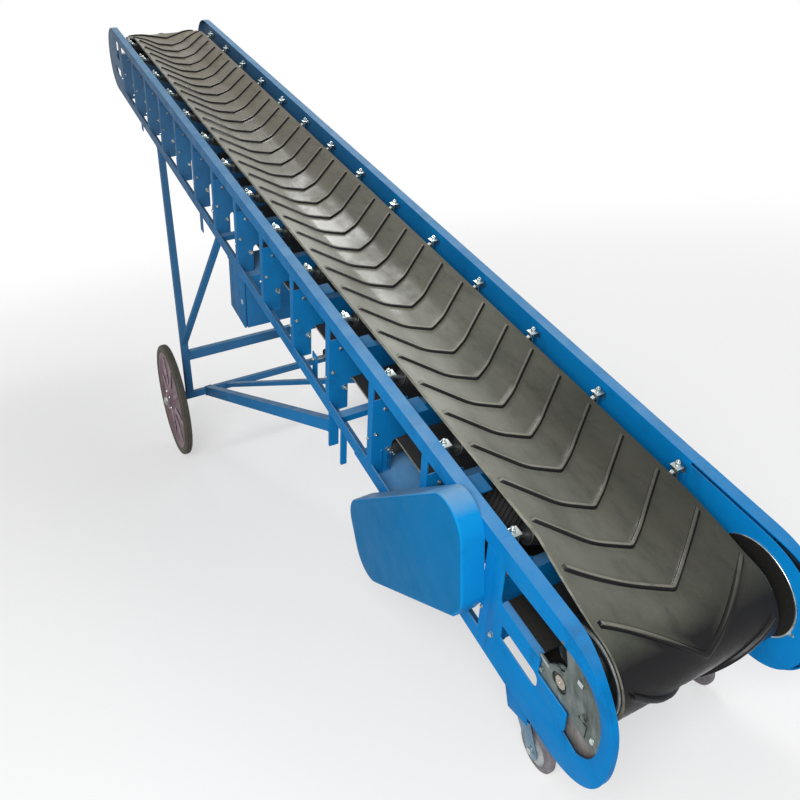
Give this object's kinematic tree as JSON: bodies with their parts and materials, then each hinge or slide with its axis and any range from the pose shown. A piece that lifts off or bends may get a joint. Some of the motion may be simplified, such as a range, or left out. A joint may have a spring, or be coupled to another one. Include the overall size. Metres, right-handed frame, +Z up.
{
  "type": "belt conveyor",
  "caption": "Mobile inclined belt conveyor: a troughed chevron belt in a blue steel deck on a wheeled undercarriage, with swivel casters at its tail.",
  "frame": {"origin": "centre of the bounding box's base, on the floor", "axes": "+X towards the raised head end, +Y to the left side that carries the drive guard, +Z up"},
  "size_m": [5.9482, 1.53, 2.7166],
  "materials": {
    "blue_paint": "semi-gloss enamel",
    "belt_rubber": "smooth moulded rubber",
    "roller_steel": "dark enamel worn by the belt",
    "zinc_plate": "bright zinc plating",
    "motor_grey": "grey enamel",
    "tyre_rubber": "dull rubber",
    "wheel_paint": "dull dark enamel",
    "caster_rubber": "matte grey rubber"
  },
  "bodies": {
    "chassis": {"top_rail_left": "blue_paint", "top_rail_right": "blue_paint", "bottom_rail_left": "blue_paint", "bottom_rail_right": "blue_paint", "tail_plate_left": "blue_paint", "tail_plate_right": "blue_paint", "head_plate_left": "blue_paint", "head_plate_right": "blue_paint", "take_up_left": "zinc_plate", "take_up_right": "zinc_plate", "trough_idler_01": "roller_steel", "trough_idler_02": "roller_steel", "trough_idler_03": "roller_steel", "trough_idler_04": "roller_steel", "trough_idler_05": "roller_steel", "trough_idler_06": "roller_steel", "trough_idler_07": "roller_steel", "trough_idler_08": "roller_steel", "trough_idler_09": "roller_steel", "trough_idler_10": "roller_steel", "trough_idler_11": "roller_steel", "trough_idler_12": "roller_steel", "trough_idler_13": "roller_steel", "trough_idler_14": "roller_steel", "return_roller_1": "roller_steel", "return_roller_2": "roller_steel", "return_roller_3": "roller_steel", "return_roller_4": "roller_steel", "tail_drum": "roller_steel", "head_drum": "roller_steel", "drive_drum": "roller_steel", "chevron_belt": "belt_rubber", "cross_tie_1": "blue_paint", "cross_tie_2": "blue_paint", "cross_tie_3": "blue_paint", "motor_plate": "blue_paint", "drive_motor": "motor_grey", "drive_guard": "blue_paint", "control_cabinet": "blue_paint", "leg_left": "blue_paint", "leg_right": "blue_paint", "strut_left": "blue_paint", "strut_right": "blue_paint", "brace_left": "blue_paint", "brace_right": "blue_paint", "upper_beam": "blue_paint", "axle_beam": "blue_paint", "diagonal_brace": "blue_paint", "caster_bracket_left": "blue_paint", "caster_bracket_right": "blue_paint"},
    "road_wheel_left": {"wheel_left": "wheel_paint", "tyre_left": "tyre_rubber"},
    "caster_fork_left": {"caster_fork_left": "zinc_plate"},
    "caster_wheel_left": {"caster_wheel_left": "caster_rubber"},
    "road_wheel_right": {"wheel_right": "wheel_paint", "tyre_right": "tyre_rubber"},
    "caster_fork_right": {"caster_fork_right": "zinc_plate"},
    "caster_wheel_right": {"caster_wheel_right": "caster_rubber"}
  },
  "joints": [
    {"name": "road_wheel_left_spin", "type": "hinge", "parent": "chassis", "child": "road_wheel_left", "pos_m": [0.67786, 0.708, 0.335], "axis": [0, 1, 0], "continuous": true},
    {"name": "caster_left_swivel", "type": "hinge", "parent": "chassis", "child": "caster_fork_left", "pos_m": [-2.45414, 0.32, 0.2], "axis": [0, 0, 1], "continuous": true},
    {"name": "caster_left_roll", "type": "hinge", "parent": "caster_fork_left", "child": "caster_wheel_left", "pos_m": [-2.48414, 0.32, 0.075], "axis": [0, 1, 0], "continuous": true},
    {"name": "road_wheel_right_spin", "type": "hinge", "parent": "chassis", "child": "road_wheel_right", "pos_m": [0.67786, -0.708, 0.335], "axis": [0, 1, 0], "continuous": true},
    {"name": "caster_right_swivel", "type": "hinge", "parent": "chassis", "child": "caster_fork_right", "pos_m": [-2.45414, -0.32, 0.2], "axis": [0, 0, 1], "continuous": true},
    {"name": "caster_right_roll", "type": "hinge", "parent": "caster_fork_right", "child": "caster_wheel_right", "pos_m": [-2.48414, -0.32, 0.075], "axis": [0, 1, 0], "continuous": true}
  ]
}
